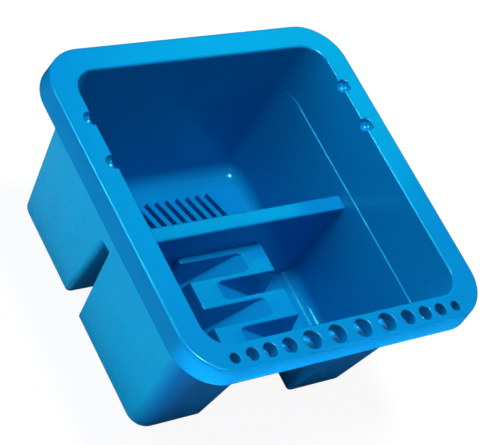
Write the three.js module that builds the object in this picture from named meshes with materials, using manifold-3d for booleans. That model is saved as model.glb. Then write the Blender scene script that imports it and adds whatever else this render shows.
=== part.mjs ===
// Brush-washing caddy: a square two-well plastic tub on three hollow feet, with a brush rest standing in its
// front well and a scrubbing comb lying in its rear well. Millimetres, +Z up, origin at the centre of the
// footprint on the resting plane. The front, with the row of handle holes, faces -Y.

import * as THREE from 'three';
import { mergeVertices } from 'three/addons/utils/BufferGeometryUtils.js';
import Module from 'manifold-3d';

const wasm = await Module();
wasm.setup();

// ---------------------------------------------------------------- driving dimensions

const height = 89; // resting plane to rim top
const wall = 2; // wall and floor thickness
const skin = 1.7; // thickness of the divider and of the raised floor over the tunnel
const gap = 0.35; // clearance round the two loose pieces
const cornerSteps = 8; // facets in a quarter-round corner
const turnSteps = 28; // facets round a hole or a bar
const sliver = 0.02; // edges shorter than this are closed up after the booleans
const least = 0.3; // smallest radius left on an inset corner
const past = 1; // how far a cutting solid runs on past the material
const far = 100; // outside the object on every side

const rim = { half: 85, corner: 22, thickness: 2, skirtDepth: 11, skirtWall: 1.3, flare: 0.5, edge: 1 };
const opening = { half: 72.3, corner: 12, edge: 1 };
const body = { footHalf: 64, footCorner: 9, topHalf: 74.5, topCorner: 14, footEdge: 1.5, floorFillet: 7 };
const ledge = { z: 60, depth: 0.6 }; // small inward step of the two side walls

const divider = { top: 53.6, front: -0.3, rear: 7.4, frontDraft: 0.045, rearDraft: 0.105, edge: 1.2 };
const slot = { corner: 1.2, sideRound: 3.2, topRound: 0.7, proud: 0.05 };
const tunnel = { half: 26.1, draft: 0.17, ceiling: 9, mouthY: -57, mouthSlope: 0.4 };
const mouth = { half: 26.5, draft: 0.05, cornerFoot: 2, cornerGrowth: 0.16, top: 40, proud: 0.06 };

const holeRow = {
  y: -78.9,
  countersink: 0.5,
  depth: 6.3,
  collar: 1.2, // wall of the short tube that deepens each hole below the rim
  pairs: [
    { x: 7.4, radius: 4.6 },
    { x: 21.7, radius: 4.6 },
    { x: 34.4, radius: 3.7 },
    { x: 45.1, radius: 3.5 },
    { x: 54.6, radius: 3.1 },
    { x: 64, radius: 2.5 },
  ],
};
const scallop = { ys: [47, 23.4], radius: 3.7, inset: 1.4, sink: 0.4 }; // bowls in the opening's edge
const pad = { thickness: 1.7, bury: 0.3, reach: 8 }; // backing behind each scallop

const rest = { top: 36, half: 24.6, sideDraft: 0.17, front: -54.6, edge: 0.8, corner: 1.2, wall: 1.8 };
const notch = { firstY: -9.35, pitch: 12.6, count: 4, half: 5.05, draft: 0.12, endX: 7, rampX: 11.2, slope: 0.6 };

const comb = { count: 13, pitch: 6.2, width: 3.2, rearY: 48, rearHeight: 3.2, rearEdge: 0.8, slope: 0.385 };
const spine = { width: 2.2, edge: 0.4 };

const blue = { color: 0x0a7fd6, roughness: 0.28, metalness: 0 };

// ---------------------------------------------------------------- derived

const wallTopZ = height - rim.thickness;
const outerLean = (body.topHalf - body.footHalf) / wallTopZ;
const innerFloorHalf = body.footHalf + outerLean * wall - wall;
const innerLean = (opening.half - innerFloorHalf) / (height - wall);
const rampDrop = Math.hypot(1, notch.slope); // vertical distance per unit of thickness under a ramp

const outerHalf = (z) => body.footHalf + outerLean * z;
const outerCorner = (z) => body.footCorner + ((body.topCorner - body.footCorner) * z) / wallTopZ;
const innerHalf = (z) => innerFloorHalf + innerLean * (z - wall);
const dividerFront = (z) => divider.front - divider.frontDraft * (divider.top - z);
const dividerRear = (z) => divider.rear + divider.rearDraft * (divider.top - z);

// ---------------------------------------------------------------- solids from three.js geometry

function toSolid(geometry) {
  geometry.deleteAttribute('normal');
  geometry.deleteAttribute('uv');
  const merged = mergeVertices(geometry, 1e-5);
  return new wasm.Manifold(new wasm.Mesh({
    numProp: 3,
    vertProperties: new Float32Array(merged.attributes.position.array),
    triVerts: new Uint32Array(merged.index.array),
  }));
}

function toMesh(solid, name, look) {
  const mesh = solid.asOriginal().simplify(sliver).getMesh();
  const geometry = new THREE.BufferGeometry();
  geometry.setAttribute('position', new THREE.BufferAttribute(mesh.vertProperties, 3));
  geometry.setIndex(new THREE.BufferAttribute(mesh.triVerts, 1));
  geometry.computeVertexNormals();
  const part = new THREE.Mesh(geometry, new THREE.MeshStandardMaterial(look));
  part.name = name;
  return part;
}

// A closed skin through a stack of equal loops, with a flat fan over each end.
function loft(loops) {
  const size = loops[0].length;
  const positions = loops.flat().flatMap((point) => [point.x, point.y, point.z]);
  const index = [];
  for (let k = 0; k + 1 < loops.length; k += 1) {
    for (let i = 0; i < size; i += 1) {
      const a = k * size + i;
      const b = k * size + ((i + 1) % size);
      index.push(a, b, b + size, a, b + size, a + size);
    }
  }
  const last = (loops.length - 1) * size;
  for (let i = 1; i + 1 < size; i += 1) {
    index.push(0, i + 1, i);
    index.push(last, last + i, last + i + 1);
  }
  const geometry = new THREE.BufferGeometry();
  geometry.setAttribute('position', new THREE.BufferAttribute(new Float32Array(positions), 3));
  geometry.setIndex(index);
  return toSolid(geometry);
}

// A rounded rectangle at height z, counter-clockwise from +X.
function roundedLoop({ halfX, halfY = halfX, corner, z, centreY = 0 }) {
  const points = [];
  for (let quarter = 0; quarter < 4; quarter += 1) {
    const signX = quarter === 0 || quarter === 3 ? 1 : -1;
    const signY = quarter < 2 ? 1 : -1;
    for (let step = 0; step <= cornerSteps; step += 1) {
      const angle = ((quarter + step / cornerSteps) * Math.PI) / 2;
      const x = signX * (halfX - corner) + corner * Math.cos(angle);
      const y = centreY + signY * (halfY - corner) + corner * Math.sin(angle);
      points.push(new THREE.Vector3(x, y, z));
    }
  }
  return points;
}

// Angles of a quarter round, both ends included.
const quarterRound = (steps) => Array.from({ length: steps + 1 }, (_, i) => (i / steps) * (Math.PI / 2));

// A Shape through corner points, each rounded by its own cut-back distance.
function roundedShape(corners) {
  const shape = new THREE.Shape();
  corners.forEach(([x, y, cut = 0], i) => {
    const here = new THREE.Vector2(x, y);
    const before = new THREE.Vector2(...corners[(i + corners.length - 1) % corners.length]);
    const after = new THREE.Vector2(...corners[(i + 1) % corners.length]);
    const start = before.sub(here).setLength(cut).add(here);
    const end = after.sub(here).setLength(cut).add(here);
    if (i === 0) shape.moveTo(start.x, start.y);
    else shape.lineTo(start.x, start.y);
    if (cut > 0) shape.quadraticCurveTo(x, y, end.x, end.y);
  });
  shape.closePath();
  return shape;
}

const extrudeOptions = (depth) => ({ depth, steps: 1, curveSegments: 4, bevelEnabled: false });

// A profile drawn as (y, z), swept along X between two planes.
function sweepX(shape, fromX, toX) {
  const geometry = new THREE.ExtrudeGeometry(shape, extrudeOptions(toX - fromX));
  const axes = new THREE.Matrix4().makeBasis(
    new THREE.Vector3(0, 1, 0),
    new THREE.Vector3(0, 0, 1),
    new THREE.Vector3(1, 0, 0),
  );
  geometry.applyMatrix4(axes);
  geometry.translate(fromX, 0, 0);
  return toSolid(geometry);
}

// A profile drawn as (x, z), swept along Y between two planes.
function sweepY(shape, fromY, toY) {
  const geometry = new THREE.ExtrudeGeometry(shape, extrudeOptions(toY - fromY));
  geometry.rotateX(Math.PI / 2);
  geometry.translate(0, toY, 0);
  return toSolid(geometry);
}

function block(fromX, toX, fromY, toY, fromZ, toZ) {
  const geometry = new THREE.BoxGeometry(toX - fromX, toY - fromY, toZ - fromZ);
  geometry.translate((fromX + toX) / 2, (fromY + toY) / 2, (fromZ + toZ) / 2);
  return toSolid(geometry);
}

// ---------------------------------------------------------------- tub

// Levels of the outer wall, from the resting face to the underside of the rim.
function outerLevels() {
  const foot = quarterRound(3).map((angle) => ({
    halfX: outerHalf(body.footEdge) - body.footEdge * (1 - Math.sin(angle)),
    corner: body.footCorner - body.footEdge * (1 - Math.sin(angle)),
    z: body.footEdge * (1 - Math.cos(angle)),
  }));
  return [...foot, { halfX: outerHalf(wallTopZ), corner: outerCorner(wallTopZ), z: wallTopZ }];
}

// Levels of the rim: along its underside, down inside the skirt, up outside it, and over the flat top.
function rimLevels() {
  const skirtZ = height - rim.skirtDepth;
  const inside = rim.half - rim.skirtWall;
  const skirt = [
    { halfX: inside, corner: rim.corner - rim.skirtWall, z: wallTopZ },
    { halfX: inside + rim.flare, corner: rim.corner - rim.skirtWall, z: skirtZ },
    { halfX: rim.half + rim.flare, corner: rim.corner, z: skirtZ },
  ];
  const outerEdge = quarterRound(3).map((angle) => ({
    halfX: rim.half - rim.edge * (1 - Math.cos(angle)),
    corner: rim.corner - rim.edge * (1 - Math.cos(angle)),
    z: height - rim.edge * (1 - Math.sin(angle)),
  }));
  const innerEdge = quarterRound(3).map((angle) => ({
    halfX: opening.half + opening.edge * (1 - Math.sin(angle)),
    corner: opening.corner + opening.edge * (1 - Math.sin(angle)),
    z: height - opening.edge * (1 - Math.cos(angle)),
  }));
  return [...skirt, ...outerEdge, ...innerEdge];
}

// Levels of the inner wall, down over the side ledge and round the floor fillet.
function innerLevels() {
  const cornerAt = (z) => opening.corner - ((height - z) * (opening.corner - body.floorFillet - 1)) / height;
  const filletTop = wall + body.floorFillet;
  const upper = { halfX: innerHalf(ledge.z), corner: cornerAt(ledge.z), z: ledge.z };
  const step = ledge.z - ledge.depth;
  const lower = {
    halfX: innerHalf(step) - ledge.depth,
    halfY: innerHalf(step),
    corner: cornerAt(step) - ledge.depth,
    z: step,
  };
  const fillet = quarterRound(5).map((angle) => {
    const inset = body.floorFillet * (1 - Math.cos(angle));
    return {
      halfX: innerHalf(filletTop) - ledge.depth - inset,
      halfY: innerHalf(filletTop) - inset,
      corner: cornerAt(filletTop) - ledge.depth - inset,
      z: filletTop - body.floorFillet * Math.sin(angle),
    };
  });
  return [upper, lower, ...fillet];
}

function dividerBar() {
  return sweepX(roundedShape([
    [dividerFront(0), 0],
    [dividerRear(0), 0],
    [dividerRear(divider.top), divider.top, divider.edge],
    [dividerFront(divider.top), divider.top, divider.edge],
  ]), -rim.half, rim.half);
}

// One side of the slot under the divider, foot to ceiling: where each point is, which way it rounds over at
// the side walls, and by how much. toward is +1 on the rear side and -1 on the front side.
function slotSide(lineY, toward) {
  const shoulder = divider.top - skin - slot.corner;
  const foot = { y: lineY(-past) - toward * skin, z: -past, outY: toward, outZ: 0, round: slot.sideRound };
  const corner = quarterRound(3).map((angle) => ({
    y: lineY(shoulder) - toward * (skin + slot.corner * (1 - Math.cos(angle))),
    z: shoulder + slot.corner * Math.sin(angle),
    outY: toward * Math.cos(angle),
    outZ: Math.sin(angle),
    round: slot.sideRound * Math.cos(angle) ** 2 + slot.topRound * Math.sin(angle) ** 2,
  }));
  return [foot, ...corner];
}

// The slot that hollows the divider from below, its edges rounded over where it breaks out of the side walls.
function slotBore() {
  const outline = [...slotSide(dividerRear, 1), ...slotSide(dividerFront, -1).reverse()];
  const station = (side, angle, outward) => outline.map(({ y, z, outY, outZ, round }) => {
    const spread = round * (1 - Math.cos(angle));
    const atZ = z + outZ * spread;
    const x = outerHalf(atZ) + slot.proud - round * (1 - Math.sin(angle)) + outward;
    return new THREE.Vector3(side * x, y + outY * spread, atZ);
  });
  const flare = quarterRound(4);
  return loft([
    station(-1, Math.PI / 2, rim.half - body.footHalf),
    ...flare.map((angle) => station(-1, angle, 0)).reverse(),
    ...flare.map((angle) => station(1, angle, 0)),
    station(1, Math.PI / 2, rim.half - body.footHalf),
  ]);
}

// The low tunnel between the two front feet, grown by the thickness of the floor that bridges it.
function tunnelBore(grow) {
  const top = tunnel.ceiling + grow;
  const halfAt = (z) => tunnel.half + grow - tunnel.draft * z;
  const profile = roundedShape([
    [-halfAt(-past), -past],
    [halfAt(-past), -past],
    [halfAt(top), top],
    [-halfAt(top), top],
  ]);
  return sweepY(profile, -rim.half, dividerFront(0) + skin + past);
}

// The tall mouth of the tunnel in the front wall. Its sides flare into the wall with a rounded corner that
// grows with height, and a leaning plane closes it behind.
function tunnelMouth(grow) {
  const heights = [-past, 10, 20, 30, mouth.top];
  const station = (angle, outward) => {
    const side = heights.map((z) => {
      const radius = Math.max(mouth.cornerFoot + mouth.cornerGrowth * Math.max(z, 0) - grow, least);
      const half = mouth.half + grow - mouth.draft * z + radius * (1 - Math.cos(angle));
      const face = grow - outerHalf(z) - mouth.proud;
      return new THREE.Vector3(half, face + radius * (1 - Math.sin(angle)) - outward, z);
    });
    const mirrored = side.map((point) => new THREE.Vector3(-point.x, point.y, point.z)).reverse();
    return [...side, ...mirrored];
  };
  const deep = station(0, 0).map((point) => point.clone().setY(dividerFront(0)));
  const flare = quarterRound(4).map((angle) => station(angle, 0));
  const passage = loft([deep, ...flare, station(Math.PI / 2, rim.half - body.topHalf)]);
  const lean = grow * Math.hypot(1, tunnel.mouthSlope);
  const planeY = (z) => tunnel.mouthY - tunnel.mouthSlope * (z - tunnel.ceiling) + lean;
  const infront = sweepX(roundedShape([
    [-far, -far],
    [planeY(-far), -far],
    [planeY(far), far],
    [-far, far],
  ]), -far, far);
  return passage.intersect(infront);
}

function turned(profile, x) {
  const geometry = new THREE.LatheGeometry(profile.map(([r, z]) => new THREE.Vector2(r, z)), turnSteps);
  geometry.rotateX(Math.PI / 2);
  geometry.translate(x, holeRow.y, height);
  return toSolid(geometry);
}

function holeCollar(x, radius) {
  const outer = radius + holeRow.collar;
  const top = -rim.thickness / 2; // inside the thickness of the rim
  return turned([[0, -holeRow.depth], [outer, -holeRow.depth], [outer, top], [0, top]], x);
}

function handleHole(x, radius) {
  const sink = holeRow.countersink;
  const lip = quarterRound(2).map((angle) => (
    [radius + sink * (1 - Math.cos(angle)), sink * (Math.sin(angle) - 1)]
  ));
  const foot = -holeRow.depth - past;
  return turned([[0, foot], [radius, foot], ...lip, [radius + sink, past], [0, past]], x);
}

function scallopBall(y, grow) {
  const geometry = new THREE.SphereGeometry(scallop.radius + grow, turnSteps, turnSteps / 2);
  geometry.rotateX(Math.PI / 2);
  geometry.translate(opening.half + scallop.inset, y, height - scallop.sink);
  return toSolid(geometry);
}

function scallopPad(y) {
  const fromX = opening.half + pad.bury;
  const toX = opening.half + pad.reach;
  const reach = block(fromX, toX, y - pad.reach, y + pad.reach, height - pad.reach, wallTopZ + pad.bury);
  return scallopBall(y, pad.thickness).intersect(reach);
}

function tub() {
  // The raised floors end inside the thickness of the walls and of the floor they join.
  const bury = wall / 2;
  const core = loft(outerLevels().map(({ halfX, corner, z }) => (
    roundedLoop({ halfX: halfX - bury, corner: corner - bury, z: z + bury })
  )));
  const raised = dividerBar().add(tunnelBore(skin)).add(tunnelMouth(skin));
  let shell = loft([...outerLevels(), ...rimLevels(), ...innerLevels()].map(roundedLoop));
  shell = shell.add(raised.intersect(core));
  shell = shell.subtract(slotBore()).subtract(tunnelBore(0)).subtract(tunnelMouth(0));
  for (const side of [-1, 1]) {
    for (const y of scallop.ys) {
      const place = (solid) => (side > 0 ? solid : solid.mirror([1, 0, 0]));
      shell = shell.add(place(scallopPad(y))).subtract(place(scallopBall(y, 0)));
    }
    for (const { x, radius } of holeRow.pairs) {
      shell = shell.add(holeCollar(side * x, radius)).subtract(handleHole(side * x, radius));
    }
  }
  return shell;
}

// ---------------------------------------------------------------- brush rest

// The rest without its notches; inset makes the hollow inside it.
function restBlock(inset, fromZ) {
  const top = rest.top - inset;
  const levelAt = (z, edgeInset) => {
    const halfX = rest.half + rest.sideDraft * (rest.top - z) - inset * Math.hypot(1, rest.sideDraft);
    const rear = dividerFront(z) - gap - inset;
    const front = rest.front + inset;
    return {
      halfX: halfX - edgeInset,
      halfY: (rear - front) / 2 - edgeInset,
      centreY: (rear + front) / 2,
      corner: Math.max(rest.corner - edgeInset, least),
      z,
    };
  };
  const edge = quarterRound(3).map((angle) => {
    const cut = rest.edge * (1 - Math.cos(angle));
    return levelAt(top - rest.edge * (1 - Math.sin(angle)), cut);
  });
  return loft([levelAt(fromZ, 0), ...edge].map(roundedLoop));
}

// One notch: a slot with a round closed end and a ramp for its floor. side is the way it opens.
function restNotch(order, grow) {
  const side = order % 2 === 0 ? -1 : 1;
  const y = notch.firstY - notch.pitch * order;
  const steps = 10;
  const slotLoop = (z) => {
    const half = notch.half + grow - notch.draft * (rest.top - z);
    const arc = Array.from({ length: steps + 1 }, (_, i) => {
      const angle = (i / steps - 0.5) * Math.PI;
      return new THREE.Vector3(notch.endX + half * Math.cos(angle), y + half * Math.sin(angle), z);
    });
    return [...arc, new THREE.Vector3(-rim.half, y + half, z), new THREE.Vector3(-rim.half, y - half, z)];
  };
  const slit = loft([slotLoop(wall), slotLoop(rest.top + past)]);
  const rampZ = (x) => rest.top - notch.slope * (notch.rampX - x) - grow * rampDrop;
  const above = sweepY(roundedShape([
    [-rim.half, rampZ(-rim.half)],
    [rim.half, rampZ(rim.half)],
    [rim.half, far],
    [-rim.half, far],
  ]), y - notch.pitch, y + notch.pitch);
  const cut = slit.intersect(above);
  return side < 0 ? cut : cut.mirror([1, 0, 0]);
}

function brushRest() {
  let solid = restBlock(0, wall + gap);
  let hollow = restBlock(rest.wall, -past);
  for (let order = 0; order < notch.count; order += 1) {
    solid = solid.subtract(restNotch(order, 0));
    hollow = hollow.subtract(restNotch(order, rest.wall));
  }
  return solid.subtract(hollow).subtract(tunnelBore(skin + gap)).subtract(tunnelMouth(skin + gap));
}

// ---------------------------------------------------------------- scrubbing comb

// Ribs run front to back and rise towards the divider, where a spine joins them.
function scrubComb() {
  const foot = wall + gap;
  const rearZ = wall + comb.rearHeight;
  const spineTop = rearZ + comb.slope * (comb.rearY - dividerRear(wall));
  const spineY = (z) => dividerRear(z) + gap;
  const rib = roundedShape([
    [spineY(foot) + spine.width / 2, foot],
    [comb.rearY, foot],
    [comb.rearY, rearZ, comb.rearEdge],
    [spineY(spineTop) + spine.width / 2, spineTop],
  ]);
  const bar = roundedShape([
    [spineY(foot), foot],
    [spineY(foot) + spine.width, foot],
    [spineY(spineTop) + spine.width, spineTop - comb.slope * spine.width, spine.edge],
    [spineY(spineTop), spineTop, spine.edge],
  ]);
  const halfRow = (comb.pitch * (comb.count - 1)) / 2;
  let solid = sweepX(bar, -halfRow - comb.width / 2, halfRow + comb.width / 2);
  for (let order = 0; order < comb.count; order += 1) {
    const x = order * comb.pitch - halfRow;
    solid = solid.add(sweepX(rib, x - comb.width / 2, x + comb.width / 2));
  }
  return solid;
}

// ---------------------------------------------------------------- assembly

const caddy = new THREE.Group();
caddy.add(toMesh(tub(), 'tub', blue));
caddy.add(toMesh(brushRest(), 'brush_rest', blue));
caddy.add(toMesh(scrubComb(), 'scrub_comb', blue));

export default caddy;
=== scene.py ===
import math
from types import SimpleNamespace as Dims

import bpy
from mathutils import Matrix, Vector


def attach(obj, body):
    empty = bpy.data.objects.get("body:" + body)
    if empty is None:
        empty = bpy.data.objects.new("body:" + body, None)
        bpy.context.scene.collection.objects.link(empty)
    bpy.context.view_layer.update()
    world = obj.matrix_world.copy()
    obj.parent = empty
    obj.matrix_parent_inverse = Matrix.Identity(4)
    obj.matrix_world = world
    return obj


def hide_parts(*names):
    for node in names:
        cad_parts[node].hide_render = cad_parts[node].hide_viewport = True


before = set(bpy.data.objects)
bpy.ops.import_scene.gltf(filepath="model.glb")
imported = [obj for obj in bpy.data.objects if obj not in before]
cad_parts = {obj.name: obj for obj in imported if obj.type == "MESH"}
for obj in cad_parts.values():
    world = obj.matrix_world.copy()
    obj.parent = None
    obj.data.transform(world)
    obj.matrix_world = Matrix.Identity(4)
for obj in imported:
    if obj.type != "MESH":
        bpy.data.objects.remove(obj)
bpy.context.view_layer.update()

# ---------------------------------------------------------------- dimensions, in millimetres, as in the CAD

MM = 0.001
HEIGHT = 89.0
WALL = 2.0
SKIN = 1.7
CORNER_STEPS = 14

RIM = Dims(half=85.0, corner=22.0, thickness=2.0, skirt_depth=11.0, skirt_wall=1.3, flare=0.5, edge=1.0, lip=0.4)
OPENING = Dims(half=72.3, corner=12.0, edge=1.0)
BODY = Dims(foot_half=64.0, foot_corner=9.0, top_half=74.5, top_corner=14.0, foot_edge=1.8, fillet=7.0)
LEDGE = Dims(z=60.0, depth=0.5, slope=0.25, edge=0.12)
DIVIDER = Dims(top=53.6, front=-0.3, rear=7.4, front_draft=0.045, rear_draft=0.105, edge=1.0)
SLOT = Dims(side_round=3.2, top_round=0.7, corner=1.2)
TUNNEL = Dims(half=26.1, draft=0.17, ceiling=9.0, mouth_y=-57.0, mouth_slope=0.4)
MOUTH = Dims(half=26.5, draft=0.05, corner_foot=2.0, corner_growth=0.16, top=40.0)
SCALLOP = Dims(ys=(47.0, 23.4), radius=3.4, inset=1.4, sink=0.4, lip=0.6, pad=1.9, reach=8.0, bury=0.3)
HOLE_ROW = Dims(
    y=-78.9,
    lip=0.45,
    depth=6.3,
    collar=1.2,
    pairs=((7.4, 4.6), (21.7, 4.6), (34.4, 3.7), (45.1, 3.5), (54.6, 3.1), (64.0, 2.5)),
)
REST = Dims(top=36.0, half=24.6, side_draft=0.17, front=-54.6, edge=0.7, corner=1.4, wall=1.8)
NOTCH = Dims(first_y=-9.35, pitch=12.6, count=4, half=5.05, draft=0.12, end_x=7.0, ramp_x=11.2, slope=0.6, edge=0.5)
COMB = Dims(count=13, pitch=6.2, width=3.2, rear_y=48.0, rear_height=3.2, slope=0.385, edge=0.35)

WALL_TOP = HEIGHT - RIM.thickness
OUTER_LEAN = (BODY.top_half - BODY.foot_half) / WALL_TOP
INNER_FLOOR_HALF = BODY.foot_half + OUTER_LEAN * WALL - WALL
INNER_LEAN = (OPENING.half - INNER_FLOOR_HALF) / (HEIGHT - WALL)

GLOSS, GRAINED = 0, 1  # material slots of every piece


def outer_half(z):
    return BODY.foot_half + OUTER_LEAN * z


def outer_corner(z):
    return BODY.foot_corner + (BODY.top_corner - BODY.foot_corner) * z / WALL_TOP


def inner_half(z):
    return INNER_FLOOR_HALF + INNER_LEAN * (z - WALL)


def inner_corner(z):
    return OPENING.corner - (HEIGHT - z) * (OPENING.corner - BODY.fillet - 1) / HEIGHT


def divider_front(z):
    return DIVIDER.front - DIVIDER.front_draft * (DIVIDER.top - z)


def divider_rear(z):
    return DIVIDER.rear + DIVIDER.rear_draft * (DIVIDER.top - z)


# ---------------------------------------------------------------- materials


def add_node(tree, kind, **inputs):
    """A shader node with some of its inputs set, by name, to values or to other nodes' outputs."""
    node = tree.nodes.new(kind)
    for name, value in inputs.items():
        socket = node.inputs[name.replace("_", " ")]
        if isinstance(value, bpy.types.NodeSocket):
            tree.links.new(value, socket)
        else:
            socket.default_value = value
    return node


def noise(tree, scale, detail=2.0, roughness=0.5):
    """Noise fixed to the part, with scale in features per metre."""
    place = tree.nodes.new("ShaderNodeTexCoord").outputs["Object"]
    node = add_node(tree, "ShaderNodeTexNoise", Vector=place, Scale=scale, Detail=detail, Roughness=roughness)
    return node.outputs["Fac"]


def remap(tree, value, low, high, to_low, to_high):
    node = add_node(tree, "ShaderNodeMapRange", Value=value)
    for name, number in (("From Min", low), ("From Max", high), ("To Min", to_low), ("To Max", to_high)):
        node.inputs[name].default_value = number
    return node.outputs["Result"]


def mix_colour(tree, factor, first, second):
    node = tree.nodes.new("ShaderNodeMix")
    node.data_type = "RGBA"
    tree.links.new(factor, node.inputs["Factor"])
    for name, colour in (("A", first), ("B", second)):
        if isinstance(colour, bpy.types.NodeSocket):
            tree.links.new(colour, node.inputs[name])
        else:
            node.inputs[name].default_value = colour
    return node.outputs["Result"]


def times(tree, first, second):
    node = tree.nodes.new("ShaderNodeMath")
    node.operation = "MULTIPLY"
    tree.links.new(first, node.inputs[0])
    tree.links.new(second, node.inputs[1])
    return node.outputs[0]


def mottled(tree, deep, pale, size):
    """Two blues in soft patches, size mm across."""
    patches = remap(tree, noise(tree, 1.0 / (size * MM), 3.0), 0.3, 0.7, 0.0, 1.0)
    return mix_colour(tree, patches, deep, pale)


def speckle_and_painted_shade(tree, colour):
    """Fine pale speckle that thickens towards the rear foot's lower edge, and painted shade: a deeper blue on the
    front wall, fading out towards the rim.
    """
    place = tree.nodes.new("ShaderNodeTexCoord").outputs["Object"]
    axes = add_node(tree, "ShaderNodeSeparateXYZ", Vector=place).outputs
    low = remap(tree, axes["Z"], 0.0, SPECKLE_AND_SHADE.top * MM, 1.0, SPECKLE_AND_SHADE.head)
    rear = remap(tree, axes["Y"], -BODY.foot_half * MM, BODY.foot_half * MM, SPECKLE_AND_SHADE.front, SPECKLE_AND_SHADE.rear)
    # Painted shade: the front wall turns a deeper blue, full below z = 60 mm and fading out towards the rim.
    front = remap(tree, axes["Y"], -SPECKLE_AND_SHADE.deep_from * MM, -SPECKLE_AND_SHADE.deep_to * MM, 0.0, 1.0)
    shade_height_mask = remap(tree, axes["Z"], SPECKLE_AND_SHADE.deep_below * MM, WALL_TOP * MM, 1.0, 0.0)
    colour = mix_colour(tree, times(tree, front, shade_height_mask), colour, SPECKLE_AND_SHADE.deep)
    speckle = remap(tree, noise(tree, 1.0 / (SPECKLE_AND_SHADE.grain * MM), 3.0, 0.7), 0.42, 0.66, 0.0, 1.0)
    amount = times(tree, times(tree, low, rear), speckle)
    return mix_colour(tree, amount, colour, SPECKLE_AND_SHADE.colour)


def plastic(name, colours, look, with_speckle_and_shade=False):
    """Moulded blue plastic: mottled colour, uneven polish, and a fine grain over softened edges."""
    material = bpy.data.materials.new(name)
    material.use_nodes = True
    tree = material.node_tree
    shader = tree.nodes["Principled BSDF"]
    colour = mottled(tree, *colours, look.patch)
    # Adds the pale speckle and the painted shade of the front wall.
    if with_speckle_and_shade:
        colour = speckle_and_painted_shade(tree, colour)
    tree.links.new(colour, shader.inputs["Base Color"])
    polish = remap(tree, noise(tree, 260.0, 3.0, 0.65), 0.3, 0.7, look.roughness * 0.85, look.roughness * 1.15)
    tree.links.new(polish, shader.inputs["Roughness"])
    shader.inputs["IOR"].default_value = 1.5
    shader.inputs["Specular IOR Level"].default_value = look.specular
    shader.inputs["Specular Tint"].default_value = (0.12, 0.9, 1.0, 1.0)
    soft = add_node(tree, "ShaderNodeBevel", Radius=look.edge * MM)
    soft.samples = 6
    grain = noise(tree, 1.0 / (look.grain * MM), 2.0, 0.6)
    bump = add_node(
        tree, "ShaderNodeBump", Strength=1.0, Distance=look.depth * MM, Height=grain, Normal=soft.outputs["Normal"]
    )
    tree.links.new(bump.outputs["Normal"], shader.inputs["Normal"])
    return material


# Lengths are in mm: patch is the size of the colour's patches, grain and depth are the surface's.
POLISHED = Dims(patch=36.0, roughness=0.2, specular=0.5, grain=2.2, depth=0.004, edge=0.35)
SPARKED = Dims(patch=36.0, roughness=0.5, specular=0.3, grain=0.85, depth=0.06, edge=0.5)
# Pale speckle, none at the front and denser low on the rear foot, and painted shade: the deeper blue on the front
# wall below the rim.
SPECKLE_AND_SHADE = Dims(
    top=55.0, head=0.1, front=0.0, rear=0.8, grain=1.3, colour=(0.07, 0.36, 0.62, 1.0),
    deep_from=58.0, deep_to=66.0, deep_below=60.0, deep=(0.001, 0.13, 0.43, 1.0),
)

SLOTS = (
    plastic("gloss_blue", ((0.001, 0.188, 0.490, 1.0), (0.001, 0.202, 0.515, 1.0)), POLISHED),
    plastic("grained_blue", ((0.001, 0.275, 0.560, 1.0), (0.001, 0.295, 0.590, 1.0)), SPARKED, with_speckle_and_shade=True),
)


# ---------------------------------------------------------------- meshes, made in millimetres


def make_object(name, points, faces, slots):
    mesh = bpy.data.meshes.new(name)
    mesh.from_pydata(points, [], faces)
    for material in SLOTS:
        mesh.materials.append(material)
    mesh.polygons.foreach_set("material_index", slots)
    mesh.update()
    made = bpy.data.objects.new(name, mesh)
    bpy.context.scene.collection.objects.link(made)
    return made


def loft(name, loops, slot_of=lambda band: GLOSS):
    """A closed skin through a stack of equal loops, capped flat. slot_of gives each band's material slot."""
    size = len(loops[0])
    points = [point for loop in loops for point in loop]
    faces, slots = [], []
    for band in range(len(loops) - 1):
        start = band * size
        for i in range(size):
            j = (i + 1) % size
            faces.append((start + i, start + j, start + size + j, start + size + i))
            slots.append(slot_of(band))
    last = (len(loops) - 1) * size
    faces.append(tuple(reversed(range(size))))
    faces.append(tuple(range(last, last + size)))
    slots += [slot_of(0), slot_of(len(loops) - 2)]
    return make_object(name, points, faces, slots)


def quarter_round(steps):
    return [math.pi / 2 * i / steps for i in range(steps + 1)]


def rounded_loop(half_x, half_y, corner, z, centre_y=0.0, steps=CORNER_STEPS):
    """A rounded rectangle at height z, counter-clockwise from +X."""
    points = []
    for quarter in range(4):
        sign_x = 1 if quarter in (0, 3) else -1
        sign_y = 1 if quarter < 2 else -1
        for step in range(steps + 1):
            angle = (quarter + step / steps) * math.pi / 2
            x = sign_x * (half_x - corner) + corner * math.cos(angle)
            y = sign_y * (half_y - corner) + corner * math.sin(angle)
            points.append((x, centre_y + y, z))
    return points


def rounded_outline(corners, steps=4):
    """Corner points (u, v, cut), each corner rounded by a curve cut back that far along both sides."""
    outline = []
    for i, (u, v, cut) in enumerate(corners):
        here = Vector((u, v))
        if not cut:
            outline.append(here)
            continue
        before = Vector(corners[i - 1][:2]) - here
        after = Vector(corners[(i + 1) % len(corners)][:2]) - here
        start = here + before.normalized() * cut
        end = here + after.normalized() * cut
        for step in range(steps + 1):
            t = step / steps
            outline.append(start * (1 - t) ** 2 + here * 2 * t * (1 - t) + end * t**2)
    return outline


def sweep_x(name, outline, from_x, to_x, slot=GLOSS):
    """An outline drawn as (y, z), swept along X."""
    loops = [[(x, y, z) for y, z in outline] for x in (from_x, to_x)]
    return loft(name, loops, lambda band: slot)


def sweep_y(name, outline, from_y, to_y, slot=GLOSS):
    """An outline drawn as (x, z), swept along Y."""
    loops = [[(x, y, z) for x, z in reversed(outline)] for y in (from_y, to_y)]
    return loft(name, loops, lambda band: slot)


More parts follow.
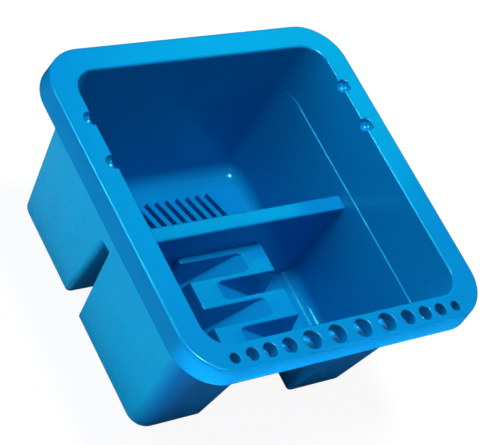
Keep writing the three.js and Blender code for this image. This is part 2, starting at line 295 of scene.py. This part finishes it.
def lathe(name, profile, centre, slot=GLOSS, segments=48):
    """A profile of (radius, height) pairs turned about a vertical axis through centre."""
    loops = []
    for radius, height in profile:
        loops.append([
            (
                centre[0] + radius * math.cos(math.tau * i / segments),
                centre[1] + radius * math.sin(math.tau * i / segments),
                centre[2] + height,
            )
            for i in range(segments)
        ])
    return loft(name, loops, lambda band: slot)


def bake(target):
    """Makes the mesh what its modifiers show, and drops them."""
    shown = target.evaluated_get(bpy.context.evaluated_depsgraph_get())
    mesh = bpy.data.meshes.new_from_object(shown)
    target.modifiers.clear()
    target.data = mesh


def combine(target, tool, operation):
    change = target.modifiers.new(operation, "BOOLEAN")
    change.operation = operation
    change.solver = "MANIFOLD"
    change.object = tool
    bake(target)
    bpy.data.objects.remove(tool)


def add(target, tool):
    combine(target, tool, "UNION")


def cut(target, tool):
    combine(target, tool, "DIFFERENCE")


def keep(target, tool):
    combine(target, tool, "INTERSECT")


def mirror_x(target):
    target.data.transform(Matrix.Scale(-1, 4, (1, 0, 0)))
    target.data.flip_normals()


SHARP_ANGLE = math.radians(32)


def finish_piece(piece, node):
    """Scales a finished mesh to metres, shades it, and puts it in the place of its CAD node."""
    piece.data.transform(Matrix.Scale(MM, 4))
    piece.data.polygons.foreach_set("use_smooth", [True] * len(piece.data.polygons))
    piece.data.set_sharp_from_angle(angle=SHARP_ANGLE)
    weighted = piece.modifiers.new("weighted", "WEIGHTED_NORMAL")
    weighted.keep_sharp = True
    weighted.weight = 90
    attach(piece, "root")
    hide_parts(node)


# ---------------------------------------------------------------- tub


def outer_levels():
    """Up the outer wall, from the rounded lower edge to the underside of the rim."""
    levels = []
    for angle in quarter_round(5):
        inset = BODY.foot_edge * (1 - math.sin(angle))
        half = outer_half(BODY.foot_edge) - inset
        levels.append((half, half, BODY.foot_corner - inset, BODY.foot_edge * (1 - math.cos(angle))))
    half = outer_half(WALL_TOP)
    levels.append((half, half, outer_corner(WALL_TOP), WALL_TOP))
    return levels


def rim_levels():
    """Along the rim's underside, down inside the skirt, round its lip, up outside, and over the flat top."""
    inside = RIM.half - RIM.skirt_wall
    inside_corner = RIM.corner - RIM.skirt_wall
    foot_z = HEIGHT - RIM.skirt_depth
    foot_half = RIM.half + RIM.flare
    levels = [
        (inside, inside, inside_corner, WALL_TOP),
        (inside + RIM.flare, inside + RIM.flare, inside_corner, foot_z),
    ]
    for angle in quarter_round(3):
        inset = RIM.lip * (1 - math.sin(angle))
        levels.append((foot_half - inset, foot_half - inset, RIM.corner - inset, foot_z + RIM.lip * (1 - math.cos(angle))))
    for angle in quarter_round(6):
        inset = RIM.edge * (1 - math.cos(angle))
        half = RIM.half - inset
        levels.append((half, half, RIM.corner - inset, HEIGHT - RIM.edge * (1 - math.sin(angle))))
    for angle in quarter_round(6):
        inset = OPENING.edge * (1 - math.sin(angle))
        half = OPENING.half + inset
        levels.append((half, half, OPENING.corner + inset, HEIGHT - OPENING.edge * (1 - math.cos(angle))))
    return levels


def inner_levels():
    """Down the inner wall, over the ledge of the two side walls and round the floor fillet."""
    levels = []
    for z, depth in (
        (LEDGE.z + LEDGE.edge, 0.0),
        (LEDGE.z, LEDGE.depth * 0.2),
        (LEDGE.z - LEDGE.slope, LEDGE.depth * 0.9),
        (LEDGE.z - LEDGE.slope - LEDGE.edge, LEDGE.depth),
    ):
        levels.append((inner_half(z) - depth, inner_half(z), inner_corner(z) - depth, z))
    top = WALL + BODY.fillet
    for angle in quarter_round(10):
        inset = BODY.fillet * (1 - math.cos(angle))
        half = inner_half(top) - inset
        corner = inner_corner(top) - LEDGE.depth - inset
        levels.append((half - LEDGE.depth, half, corner, top - BODY.fillet * math.sin(angle)))
    return levels


def tub_shell():
    levels = outer_levels() + rim_levels() + inner_levels()
    grained_bands = len(outer_levels()) - 1
    loops = [rounded_loop(*level) for level in levels]
    return loft("tub_moulding", loops, lambda band: GRAINED if band < grained_bands else GLOSS)


def divider_bar(from_z, half_length):
    top = DIVIDER.top
    return sweep_x("divider", rounded_outline([
        (divider_front(from_z), from_z, 0),
        (divider_rear(from_z), from_z, 0),
        (divider_rear(top), top, DIVIDER.edge),
        (divider_front(top), top, DIVIDER.edge),
    ], 5), -half_length, half_length)


def slot_side_points(top, edge):
    """Points (y, z, outward y, outward z, rounding) round the slot, front foot to ceiling to rear foot."""
    rear, front = [], []
    for z in (-2.0, 0.0, 10.0, 20.0, 30.0, 40.0, top - edge - 2.0):
        rear.append((divider_rear(z) - SKIN, z, 1.0, 0.0, SLOT.side_round))
        front.append((divider_front(z) + SKIN, z, -1.0, 0.0, SLOT.side_round))
    for angle in quarter_round(4):
        y_out, z_out = math.cos(angle), math.sin(angle)
        rounding = SLOT.side_round * y_out**2 + SLOT.top_round * z_out**2
        z = top - edge + edge * z_out
        rear.append((divider_rear(top - edge) - SKIN - edge * (1 - y_out), z, y_out, z_out, rounding))
        front.append((divider_front(top - edge) + SKIN + edge * (1 - y_out), z, -y_out, z_out, rounding))
    return rear + front[::-1]


def slot_bore():
    """The slot that hollows the divider from below, flared where it breaks out through the side walls."""
    outline = slot_side_points(DIVIDER.top - SKIN, SLOT.corner)
    proud = 0.05

    def station(angle, side, outward):
        loop = []
        for y, z, y_out, z_out, rounding in outline:
            spread = rounding * (1 - math.cos(angle))
            at_z = z + z_out * spread
            x = outer_half(at_z) + proud - rounding * (1 - math.sin(angle)) + outward
            loop.append((side * x, y + y_out * spread, at_z))
        return loop

    flare = quarter_round(6)
    loops = [station(math.pi / 2, -1, 8.0)]
    loops += [station(angle, -1, 0.0) for angle in reversed(flare)]
    loops += [station(angle, 1, 0.0) for angle in flare]
    loops.append(station(math.pi / 2, 1, 8.0))
    return loft("slot", loops, lambda band: GRAINED)


def tunnel_bore(grow, slot):
    top = TUNNEL.ceiling + grow
    from_y = TUNNEL.mouth_y - 6
    return sweep_y("tunnel", rounded_outline([
        (-TUNNEL.half - grow, 0 if grow else -2, 0),
        (TUNNEL.half + grow, 0 if grow else -2, 0),
        (TUNNEL.half + grow - TUNNEL.draft * top, top, 1),
        (-TUNNEL.half - grow + TUNNEL.draft * top, top, 1),
    ]), from_y, divider_front(0) + SKIN + 1, slot)


def tunnel_mouth(grow, slot):
    """The tall mouth in the front wall. Its sides flare with height, and a leaning plane closes it behind."""
    heights = [0.0 if grow else -2.0, 5.0, 10.0, 15.0, 20.0, 25.0, 30.0, MOUTH.top]
    lean = grow * math.hypot(1, TUNNEL.mouth_slope)
    proud = 0.05
    far = 100.0

    def corner_radius(z):
        return max(MOUTH.corner_foot + MOUTH.corner_growth * max(z, 0) - grow, 0.3)

    def station(angle, outward):
        side = []
        for z in heights:
            radius = corner_radius(z)
            x = MOUTH.half + grow - MOUTH.draft * z + radius * (1 - math.cos(angle))
            y = grow - outer_half(z) - proud + radius * (1 - math.sin(angle)) - outward
            side.append((x, y, z))
        return side + [(-x, y, z) for x, y, z in reversed(side)]

    def plane_y(z):
        return TUNNEL.mouth_y - TUNNEL.mouth_slope * (z - TUNNEL.ceiling) + lean

    deep = [(x, divider_front(0), z) for x, y, z in station(0, 0)]
    loops = [deep] + [station(angle, 0) for angle in quarter_round(6)] + [station(math.pi / 2, 5)]
    mouth = loft("mouth", loops, lambda band: slot)
    in_front = rounded_outline([(-far, -far, 0), (plane_y(-far), -far, 0), (plane_y(far), far, 0), (-far, far, 0)])
    keep(mouth, sweep_x("in_front", in_front, -far, far, slot))
    return mouth


def hole_collar(x, radius):
    """The short tube that deepens a handle hole below the rim."""
    outer = radius + HOLE_ROW.collar
    profile = [(outer - 0.3, -HOLE_ROW.depth), (outer, 0.3 - HOLE_ROW.depth), (outer, -RIM.thickness / 2)]
    return lathe("collar", profile, (x, HOLE_ROW.y, HEIGHT))


def handle_hole(x, radius):
    profile = [(0.02, -HOLE_ROW.depth - 2), (radius, -HOLE_ROW.depth - 2), (radius, -HOLE_ROW.lip)]
    for angle in quarter_round(4)[1:]:
        profile.append((radius + HOLE_ROW.lip * (1 - math.cos(angle)), -HOLE_ROW.lip * (1 - math.sin(angle))))
    profile += [(radius + HOLE_ROW.lip, 1), (0.02, 1)]
    return lathe("hole", profile, (x, HOLE_ROW.y, HEIGHT))


def scallop_bowl(y):
    """The bowl cut into the opening's edge, with a rolled lip where it meets the rim top."""
    profile = [(0.02, -SCALLOP.sink - SCALLOP.radius)]
    for angle in quarter_round(8)[1:]:
        height = -SCALLOP.sink - SCALLOP.radius * math.cos(angle)
        if height < -SCALLOP.lip:
            profile.append((SCALLOP.radius * math.sin(angle), height))
    for angle in quarter_round(4):
        profile.append((
            SCALLOP.radius + SCALLOP.lip * (1 - math.cos(angle)),
            -SCALLOP.lip * (1 - math.sin(angle)),
        ))
    profile += [(SCALLOP.radius + SCALLOP.lip, 1), (0.02, 1)]
    return lathe("bowl", profile, (OPENING.half + SCALLOP.inset, y, HEIGHT))


def scallop_pad(y):
    """The backing behind a bowl, buried in the wall and in the rim."""
    radius = SCALLOP.radius + SCALLOP.pad
    profile = [(radius * math.sin(angle), -SCALLOP.sink - radius * math.cos(angle)) for angle in quarter_round(8)[1:]]
    pad = lathe("pad", profile + [(radius, 0)], (OPENING.half + SCALLOP.inset, y, HEIGHT))
    near = OPENING.half + SCALLOP.bury
    far = OPENING.half + SCALLOP.reach
    front, rear = y - SCALLOP.reach, y + SCALLOP.reach
    keep(pad, loft("reach", [
        [(near, front, z), (far, front, z), (far, rear, z), (near, rear, z)]
        for z in (HEIGHT - SCALLOP.reach, WALL_TOP + SCALLOP.bury)
    ]))
    return pad


def raised_floors():
    """The divider and the floor over the tunnel, cut off inside the thickness of the walls they join."""
    bury = WALL / 2
    core = loft("core", [
        rounded_loop(half_x - bury, half_y - bury, corner - bury, z + bury)
        for half_x, half_y, corner, z in outer_levels()
    ])
    raised = divider_bar(0.0, RIM.half)
    add(raised, tunnel_bore(SKIN, GLOSS))
    add(raised, tunnel_mouth(SKIN, GLOSS))
    keep(raised, core)
    return raised


def tub():
    shell = tub_shell()
    add(shell, raised_floors())
    cut(shell, slot_bore())
    cut(shell, tunnel_bore(0.0, GRAINED))
    cut(shell, tunnel_mouth(0.0, GRAINED))
    for y in SCALLOP.ys:
        for side in (1, -1):
            for tool, change in ((scallop_pad(y), add), (scallop_bowl(y), cut)):
                if side < 0:
                    mirror_x(tool)
                change(shell, tool)
    for x, radius in HOLE_ROW.pairs:
        for side in (1, -1):
            add(shell, hole_collar(side * x, radius))
            cut(shell, handle_hole(side * x, radius))
    return shell


# ---------------------------------------------------------------- brush rest and comb

REST_FOOT = WALL - 0.05
TOUCH = 0.05  # the visible pieces close the CAD clearance


def rest_block(inset, from_z):
    """The rest without its notches. inset makes the hollow inside it."""
    top = REST.top - inset

    def level(z, edge_inset):
        half_x = REST.half + REST.side_draft * (REST.top - z) - inset * math.hypot(1, REST.side_draft)
        rear = divider_front(z) + TOUCH - inset
        front = REST.front + inset
        return rounded_loop(
            half_x - edge_inset,
            (rear - front) / 2 - edge_inset,
            max(REST.corner - edge_inset, 0.3),
            z,
            (rear + front) / 2,
            6,
        )

    loops = [level(from_z, 0.0)]
    for angle in quarter_round(4):
        loops.append(level(top - REST.edge * (1 - math.sin(angle)), REST.edge * (1 - math.cos(angle))))
    return loft("rest_moulding", loops)


def rest_notch(order, grow):
    """A slot with a round closed end and a ramp for its floor, its upper edge rolled over.

    grow adds the wall left under the notch, for the hollow inside the rest.
    """
    y = NOTCH.first_y - NOTCH.pitch * order
    steps = 20

    def slot_loop(z, spread):
        half = NOTCH.half + grow - NOTCH.draft * (REST.top - z) + spread
        arc = []
        for i in range(steps + 1):
            angle = (i / steps - 0.5) * math.pi
            arc.append((NOTCH.end_x + half * math.cos(angle), y + half * math.sin(angle), z))
        return arc + [(-RIM.half, y + half, z), (-RIM.half, y - half, z)]

    loops = [slot_loop(WALL, 0.0), slot_loop(REST.top - NOTCH.edge, 0.0)]
    for angle in quarter_round(4)[1:]:
        loops.append(slot_loop(REST.top - NOTCH.edge * (1 - math.sin(angle)), NOTCH.edge * (1 - math.cos(angle))))
    loops.append(slot_loop(REST.top + 2, NOTCH.edge))
    notch = loft("notch", loops)

    def ramp(x):
        return REST.top - NOTCH.slope * (NOTCH.ramp_x - x) - grow * math.hypot(1, NOTCH.slope)

    above = sweep_y("above", rounded_outline([
        (-RIM.half - 5, ramp(-RIM.half - 5), 0),
        (RIM.half, ramp(RIM.half), 0),
        (RIM.half, HEIGHT * 2, 0),
        (-RIM.half - 5, HEIGHT * 2, 0),
    ]), y - NOTCH.pitch, y + NOTCH.pitch)
    keep(notch, above)
    if order % 2:
        mirror_x(notch)
    return notch


def brush_rest():
    rest = rest_block(0.0, REST_FOOT)
    hollow = rest_block(REST.wall, 0.0)
    for order in range(NOTCH.count):
        cut(rest, rest_notch(order, 0.0))
        cut(hollow, rest_notch(order, REST.wall))
    for tool in (hollow, tunnel_bore(SKIN - TOUCH, GLOSS), tunnel_mouth(SKIN - TOUCH, GLOSS)):
        cut(rest, tool)
    return rest


def rib_outline():
    """One rib from the side, as (y, z): low at the rear, rising to the divider."""
    rear_z = WALL + COMB.rear_height
    front_y = divider_rear(WALL) - TOUCH
    front_z = rear_z + COMB.slope * (COMB.rear_y - front_y)
    return rounded_outline([
        (front_y, WALL - TOUCH, 0),
        (COMB.rear_y, WALL - TOUCH, 0),
        (COMB.rear_y, rear_z, 0.8),
        (divider_rear(front_z) - TOUCH, front_z, 0),
    ])


def inset_outline(outline, inset):
    """The outline with its upper side lowered and its rear end drawn in, for the rounded edge of a rib."""
    foot = WALL - TOUCH
    return [
        Vector((y - inset * (y > COMB.rear_y - 1.5), z - inset * (z > foot + 0.5)))
        for y, z in outline
    ]


def rib(x):
    """One rib with its upper edges rounded."""
    outline = rib_outline()
    half = COMB.width / 2
    stations = []
    for angle in quarter_round(3):
        stations.append((half - COMB.edge * (1 - math.sin(angle)), COMB.edge * (1 - math.cos(angle))))
    loops = []
    for offset, inset in [(-a, b) for a, b in reversed(stations)] + stations:
        loops.append([(x + offset, y, z) for y, z in inset_outline(outline, inset)])
    return loft("rib", loops)


def scrub_comb():
    """The row of ribs, joined by a low spine against the divider."""
    foot = WALL - TOUCH
    half_row = COMB.pitch * (COMB.count - 1) / 2
    front_y = divider_rear(WALL)
    rear_z = WALL + COMB.rear_height
    spine_top = rear_z + COMB.slope * (COMB.rear_y - front_y) - 1.2
    comb = sweep_x("comb_moulding", rounded_outline([
        (front_y - TOUCH, foot, 0),
        (front_y + 2.2, foot, 0),
        (divider_rear(spine_top) + 2.2, spine_top, 0.4),
        (divider_rear(spine_top) - TOUCH, spine_top, 0),
    ]), -half_row, half_row)
    for order in range(COMB.count):
        add(comb, rib(order * COMB.pitch - half_row))
    return comb


# ---------------------------------------------------------------- studio

def studio_world():
    """A faint even sky, which the camera sees as pale grey."""
    world = bpy.data.worlds.new("studio")
    bpy.context.scene.world = world
    world.use_nodes = True
    world.cycles.sampling_method = "NONE"
    tree = world.node_tree
    tree.nodes.clear()
    path = tree.nodes.new("ShaderNodeLightPath")
    strength = remap(tree, path.outputs["Is Camera Ray"], 0, 1, 0.1, 0.9)
    strength = times(tree, strength, remap(tree, path.outputs["Is Glossy Ray"], 0, 1, 1.0, 0.0))
    sky = add_node(tree, "ShaderNodeBackground", Color=(1, 1, 1, 1), Strength=strength)
    out = tree.nodes.new("ShaderNodeOutputWorld")
    tree.links.new(sky.outputs["Background"], out.inputs["Surface"])


def panel(name, data, place, away, gloss_only):
    """Hangs a light at place, in metres, facing against the direction away."""
    made = bpy.data.objects.new(name, data)
    turn = Vector(away).to_track_quat("Z", "Y").to_matrix().to_4x4()
    made.matrix_world = Matrix.Translation(place) @ turn
    made.visible_diffuse = not gloss_only
    made.visible_glossy = gloss_only
    made.visible_camera = False
    bpy.context.scene.collection.objects.link(made)


def softbox(name, toward, size, radiance, colour=None):
    """A round panel 1.5 m away in a direction. A coloured one makes only highlights, a white one none."""
    data = bpy.data.lights.new(name, "AREA")
    data.shape = "DISK"
    data.size = size
    data.energy = radiance * math.pi * math.pi * (size / 2) ** 2
    data.color = colour or (1, 1, 1)
    away = Vector(toward).normalized()
    panel(name, data, away * 1.5, away, bool(colour))


def gridded_strip(name, place, away, width, height, energy, spread):
    """A low panel with a honeycomb grid, which keeps its beam nearly parallel."""
    data = bpy.data.lights.new(name, "AREA")
    data.shape = "RECTANGLE"
    data.size = width
    data.size_y = height
    data.energy = energy
    data.spread = math.radians(spread)
    panel(name, data, place, away, False)


PALE_CYAN = (0.45, 1.0, 0.85)
DEEP_CYAN = (0.0, 1.0, 0.7)


def studio_lights():
    softbox("overhead", (0.07, 0.14, 0.98), 0.5, 37.0)
    softbox("left", (-0.87, 0.3, 0.42), 1.5, 2.3)
    gridded_strip("left_wall", (-0.5, 0.0, 0.044), (-1, 0, 0), 0.3, 0.088, 0.024, 8)
    gridded_strip("front_wall", (0.0, -0.4, 0.04), (0, -1, 0), 0.24, 0.07, 0.009, 8)
    gridded_strip("front_skirt", (0.0, -0.25, 0.086), (0, -1, 0), 0.24, 0.012, 0.0125, 6)
    gridded_strip("skirt_gap", (0.0, -0.16, 0.026), (0, -0.84, -0.54), 0.24, 0.014, 0.022, 8)
    softbox("edge_gloss", (-0.65, 0.38, 0.65), 0.27, 90.0, PALE_CYAN)
    softbox("corner_gloss", (-0.05, -0.72, 0.68), 0.2, 60.0, PALE_CYAN)
    softbox("top_gloss", (0.6, 0.4, 0.69), 1.1, 0.25, DEEP_CYAN)
    softbox("rear_rim_gloss", (0.613, 0.44, 0.66), 0.42, 3.2, DEEP_CYAN)
    softbox("fillet_gloss", (0.2, 0.34, 0.92), 0.16, 70.0, DEEP_CYAN)
    softbox("glint", (0.12, 0.0, 0.97), 0.12, 900.0, (1.0, 1.0, 1.0))


def pale_floor():
    """A white floor: bright to the camera, and dim to the rays that light the object."""
    reach = 6000.0
    floor = make_object("floor", [(-reach, -reach, 0), (reach, -reach, 0), (reach, reach, 0), (-reach, reach, 0)], [(0, 1, 2, 3)], [0])
    floor.data.transform(Matrix.Scale(MM, 4))
    material = bpy.data.materials.new("floor")
    material.use_nodes = True
    tree = material.node_tree
    path = tree.nodes.new("ShaderNodeLightPath")
    shader = tree.nodes["Principled BSDF"]
    shader.inputs["Roughness"].default_value = 0.9
    shader.inputs["Specular IOR Level"].default_value = 0.0
    tone = mix_colour(tree, path.outputs["Is Camera Ray"], (0.75, 0.75, 0.75, 1), (0.1, 0.1, 0.1, 1))
    tone = mix_colour(tree, path.outputs["Is Glossy Ray"], tone, (0, 0, 0, 1))
    tree.links.new(tone, shader.inputs["Base Color"])
    shader.inputs["Emission Color"].default_value = (1, 1, 1, 1)
    glow = remap(tree, path.outputs["Is Camera Ray"], 0, 1, 0.0, 0.92)
    tree.links.new(glow, shader.inputs["Emission Strength"])
    floor.data.materials.clear()
    floor.data.materials.append(material)
    floor.visible_glossy = False


def photograph_camera():
    """Looks down over the rim corner between the hole row and the left side, rolled about its axis."""
    azimuth, elevation, roll = (math.radians(a) for a in (-58.64, 44.27, 38.54))
    back = Vector((
        math.sin(azimuth) * math.cos(elevation),
        -math.cos(azimuth) * math.cos(elevation),
        math.sin(elevation),
    ))
    right = (-back).cross(Vector((0, 0, 1))).normalized()
    up = right.cross(-back)
    side = right * math.cos(roll) + up * math.sin(roll)
    turn = Matrix((side, back.cross(side), back)).transposed().to_4x4()
    data = bpy.data.cameras.new("camera")
    data.sensor_width = 36.0
    data.lens = 134.2
    data.clip_end = 100.0
    camera = bpy.data.objects.new("camera", data)
    camera.matrix_world = Matrix.Translation(Vector((-522.0, -322.7, 660.3)) * MM) @ turn
    bpy.context.scene.collection.objects.link(camera)
    bpy.context.scene.camera = camera


# ---------------------------------------------------------------- assembly

finish_piece(tub(), "tub")
finish_piece(brush_rest(), "brush_rest")
finish_piece(scrub_comb(), "scrub_comb")
pale_floor()
studio_world()
studio_lights()
photograph_camera()
bpy.context.scene.view_settings.view_transform = "Standard"
